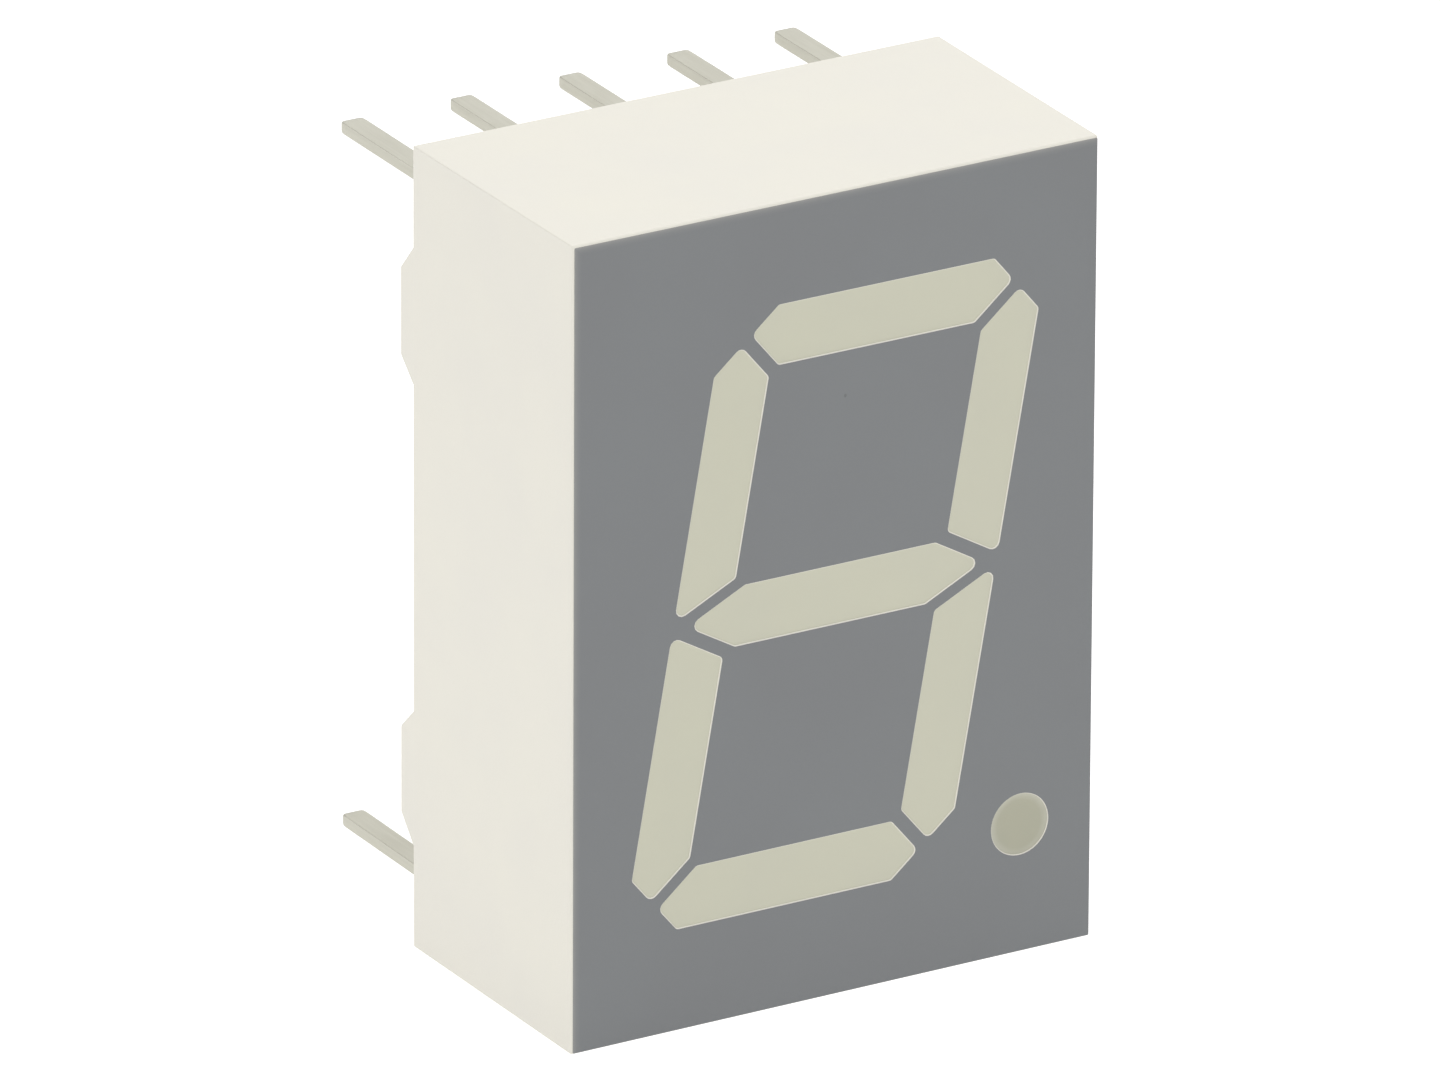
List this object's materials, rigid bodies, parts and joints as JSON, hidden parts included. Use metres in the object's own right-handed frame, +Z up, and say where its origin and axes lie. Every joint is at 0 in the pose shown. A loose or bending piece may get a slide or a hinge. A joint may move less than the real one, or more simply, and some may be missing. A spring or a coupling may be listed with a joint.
{
  "type": "seven segment display",
  "caption": "Numeric indicator block with seven slanted bar light guides and a decimal point set in a grey-printed white housing, with two rows of flat pins at the back.",
  "frame": {"origin": "centre of the ten-pin pattern, on the plane of the four rear feet, which is the mounting plane", "axes": "+X to the viewer's right, +Y backwards along the pins, +Z up the digit; the face looks towards -Y"},
  "size_m": [0.0122, 0.0108, 0.0175],
  "materials": {
    "housing_plastic": "satin moulded off-white",
    "face_ink": "matte mid grey print",
    "light_guide_resin": "smooth diffusing cream resin",
    "board_laminate": "green solder mask on glass laminate",
    "copper": "thin copper",
    "die": "semiconductor chip",
    "bond_wire": "bright gold-coloured wire",
    "tinned_pin": "dull tin plating",
    "solder": "bright solder",
    "potting_resin": "glossy cast resin"
  },
  "bodies": {
    "root": {"housing": "housing_plastic", "face_print": "face_ink", "segment_a": "light_guide_resin", "segment_b": "light_guide_resin", "segment_c": "light_guide_resin", "segment_d": "light_guide_resin", "segment_e": "light_guide_resin", "segment_f": "light_guide_resin", "segment_g": "light_guide_resin", "decimal_point": "light_guide_resin", "circuit_board": "board_laminate", "copper_tracks": "copper", "led_die_a": "die", "led_die_b": "die", "led_die_c": "die", "led_die_d": "die", "led_die_e": "die", "led_die_f": "die", "led_die_g": "die", "led_die_point": "die", "bond_wire_a": "bond_wire", "bond_wire_b": "bond_wire", "bond_wire_c": "bond_wire", "bond_wire_d": "bond_wire", "bond_wire_e": "bond_wire", "bond_wire_f": "bond_wire", "bond_wire_g": "bond_wire", "bond_wire_point": "bond_wire", "pin_1": "tinned_pin", "pin_2": "tinned_pin", "pin_3": "tinned_pin", "pin_4": "tinned_pin", "pin_5": "tinned_pin", "pin_6": "tinned_pin", "pin_7": "tinned_pin", "pin_8": "tinned_pin", "pin_9": "tinned_pin", "pin_10": "tinned_pin", "solder_joints": "solder", "back_resin": "potting_resin"}
  },
  "joints": []
}
